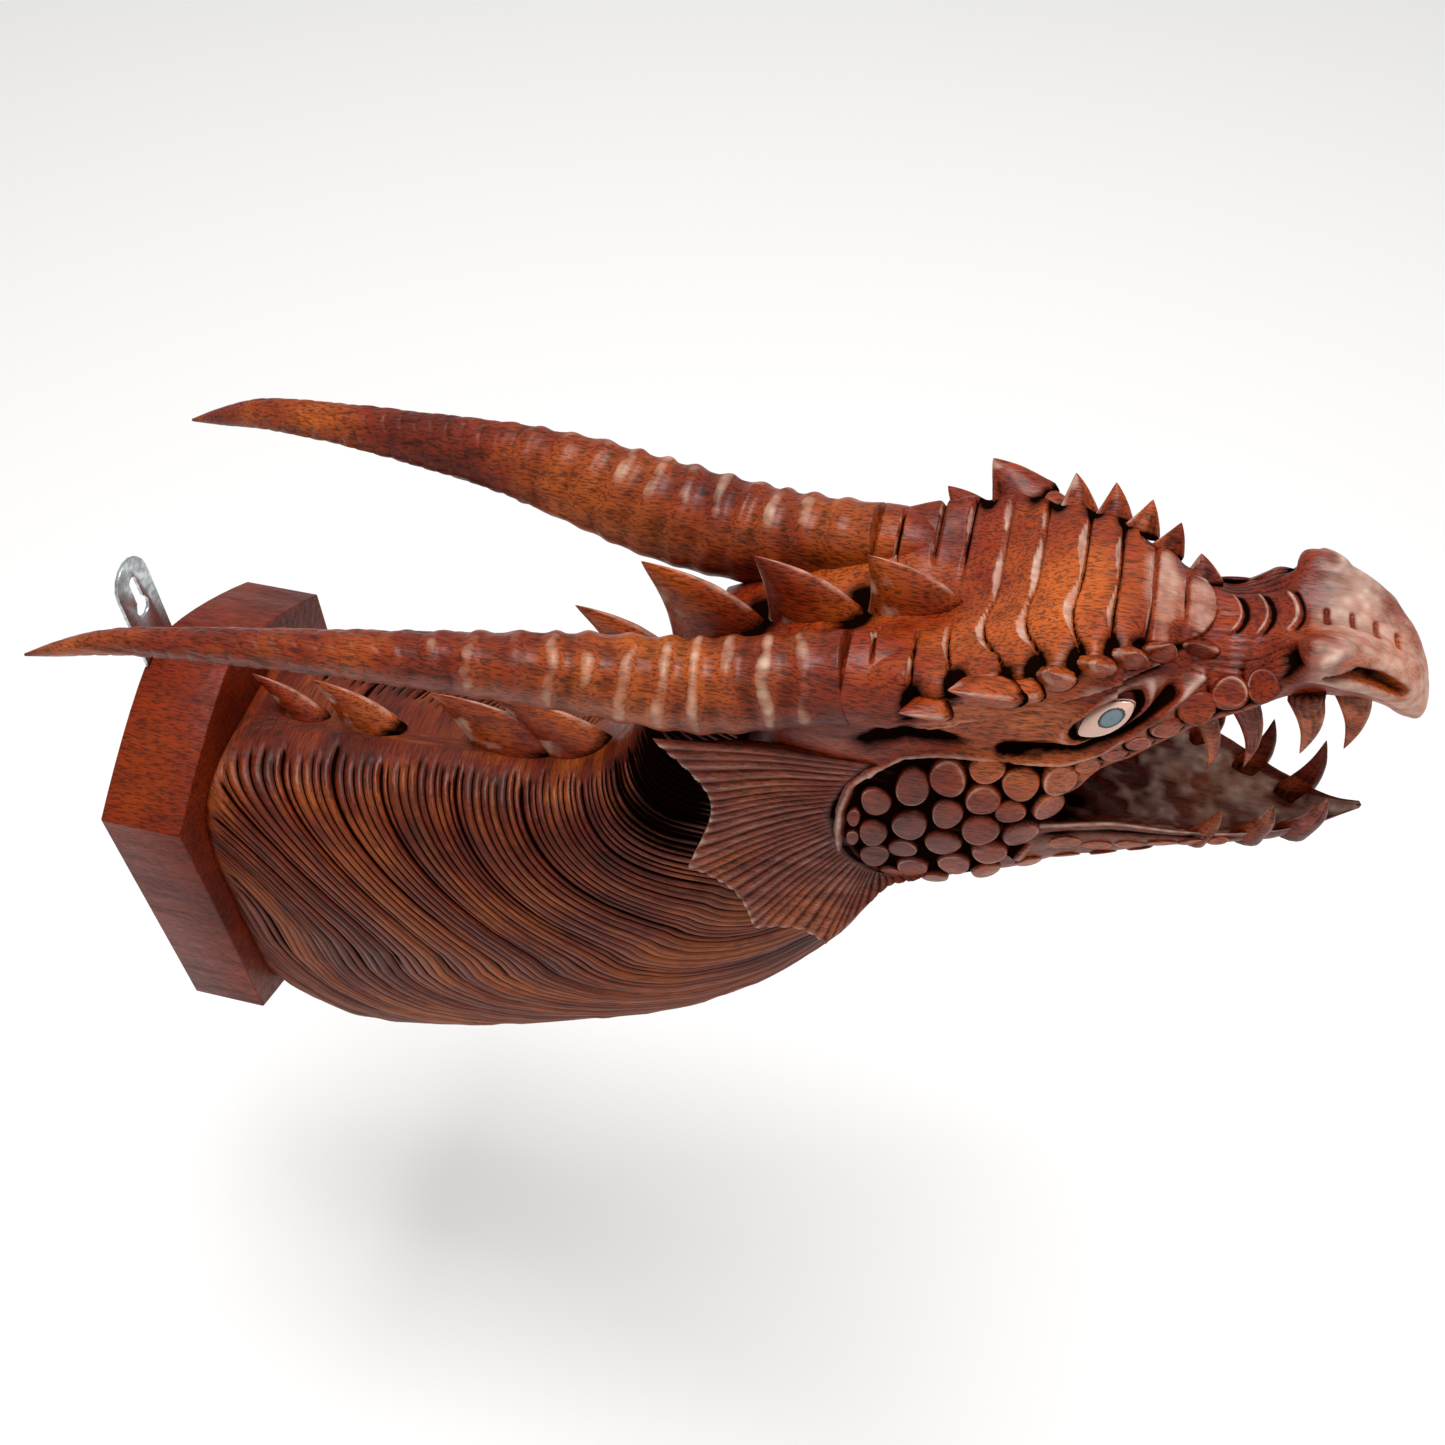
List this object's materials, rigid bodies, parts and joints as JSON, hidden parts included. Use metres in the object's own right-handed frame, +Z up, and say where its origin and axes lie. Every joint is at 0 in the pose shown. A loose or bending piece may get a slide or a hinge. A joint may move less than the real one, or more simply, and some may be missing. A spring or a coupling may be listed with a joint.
{
  "type": "dragon head wall carving",
  "caption": "Carved hardwood dragon head with long horns, open beak, cheek fins and flowing neck locks on a backing board with peaked ends, hung on the wall by a steel keyhole hanger.",
  "frame": {"origin": "centre of the board's back face, on the wall", "axes": "+Y into the wall, -Y out of it towards the beak, +Z up; the dragon's right side is -X"},
  "size_m": [0.146, 0.501, 0.3825],
  "materials": {
    "carved_wood": "stained dark red-brown hardwood, carved and waxed to a satin gloss",
    "horn_wood": "stained hardwood, gouge-cut rings, satin",
    "board_wood": "stained hardwood board, planed, satin",
    "eye_inlay": "polished pale inlay with a blue-grey iris",
    "zinc_steel": "zinc plated sheet steel"
  },
  "bodies": {
    "root": {"dragon_carving": "carved_wood", "right_horn": "horn_wood", "left_horn": "horn_wood", "right_eye": "eye_inlay", "left_eye": "eye_inlay", "wall_board": "board_wood", "hanger_plate": "zinc_steel", "hanger_screw_lower": "zinc_steel", "hanger_screw_upper": "zinc_steel"}
  },
  "joints": []
}
